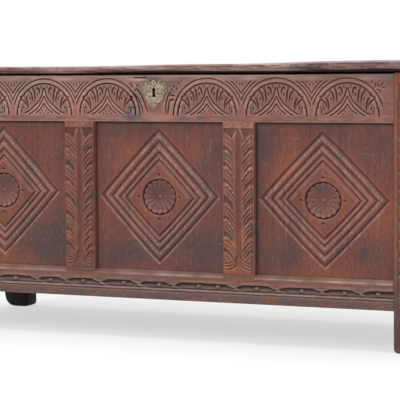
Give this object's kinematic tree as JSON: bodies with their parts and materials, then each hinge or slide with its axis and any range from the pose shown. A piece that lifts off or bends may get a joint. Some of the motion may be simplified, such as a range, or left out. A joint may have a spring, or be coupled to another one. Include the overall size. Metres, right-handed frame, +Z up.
{
  "type": "coffer chest",
  "caption": "Joined oak coffer with a carved panelled front, lunette frieze, planked lid on iron strap hinges, chest lock and pierced brass escutcheon.",
  "frame": {"origin": "on the floor, under the middle of the chest's box", "axes": "+X along the front from left to right, +Y from the front to the back, +Z up"},
  "size_m": [1.412, 0.5084, 0.6743],
  "materials": {
    "oak_front": "waxed reddish brown oak, carved, worn on the arrises",
    "oak_panel": "waxed dark oak with vertical grain",
    "oak_carcase": "plain waxed oak",
    "oak_lid": "waxed oak, worn edges",
    "oak_inside": "dry unpolished oak",
    "oak_peg": "riven oak peg",
    "wrought_iron": "black hammered iron",
    "brass": "dull aged brass"
  },
  "bodies": {
    "carcase": {"front_left_stile": "oak_front", "front_left_muntin": "oak_front", "front_right_stile": "oak_front", "front_right_muntin": "oak_front", "front_bottom_rail": "oak_front", "front_top_rail": "oak_front", "front_pegs": "oak_peg", "front_left_panel": "oak_panel", "front_middle_panel": "oak_panel", "front_right_panel": "oak_panel", "rear_left_stile": "oak_carcase", "rear_left_muntin": "oak_carcase", "rear_right_stile": "oak_carcase", "rear_right_muntin": "oak_carcase", "rear_bottom_rail": "oak_carcase", "rear_top_rail": "oak_carcase", "rear_pegs": "oak_peg", "rear_left_panel": "oak_carcase", "rear_middle_panel": "oak_carcase", "rear_right_panel": "oak_carcase", "left_end_bottom_rail": "oak_carcase", "left_end_top_rail": "oak_carcase", "left_end_muntin": "oak_carcase", "left_end_front_panel": "oak_carcase", "left_end_rear_panel": "oak_carcase", "left_end_pegs": "oak_peg", "right_end_bottom_rail": "oak_carcase", "right_end_top_rail": "oak_carcase", "right_end_muntin": "oak_carcase", "right_end_front_panel": "oak_carcase", "right_end_rear_panel": "oak_carcase", "right_end_pegs": "oak_peg", "floor_board_1": "oak_inside", "floor_board_2": "oak_inside", "floor_board_3": "oak_inside", "floor_board_4": "oak_inside", "floor_board_5": "oak_inside", "left_hinge_leaf": "wrought_iron", "left_hinge_pin": "wrought_iron", "right_hinge_leaf": "wrought_iron", "right_hinge_pin": "wrought_iron", "leaf_nails": "wrought_iron", "lock_plate": "wrought_iron", "lock_nails": "wrought_iron", "bolt_keeps": "wrought_iron", "bolt_spring": "wrought_iron", "escutcheon": "brass", "escutcheon_tacks": "brass"},
    "lid": {"lid_front_plank": "oak_lid", "lid_rear_plank": "oak_lid", "lid_left_cleat": "oak_lid", "lid_right_cleat": "oak_lid", "cleat_pegs": "oak_peg", "left_hinge_strap": "wrought_iron", "right_hinge_strap": "wrought_iron", "strap_nails": "wrought_iron", "lid_staple": "wrought_iron", "staple_nails": "wrought_iron"},
    "lock_bolt": {"lock_bolt": "wrought_iron"}
  },
  "joints": [
    {"name": "lid_hinge", "type": "hinge", "parent": "carcase", "child": "lid", "pos_m": [0, 0.24825, 0.6448], "axis": [-1, 0, 0], "range_deg": [0, 100]},
    {"name": "bolt_slide", "type": "slide", "parent": "carcase", "child": "lock_bolt", "axis": [1, 0, 0], "range_m": [0, 0.014]}
  ]
}
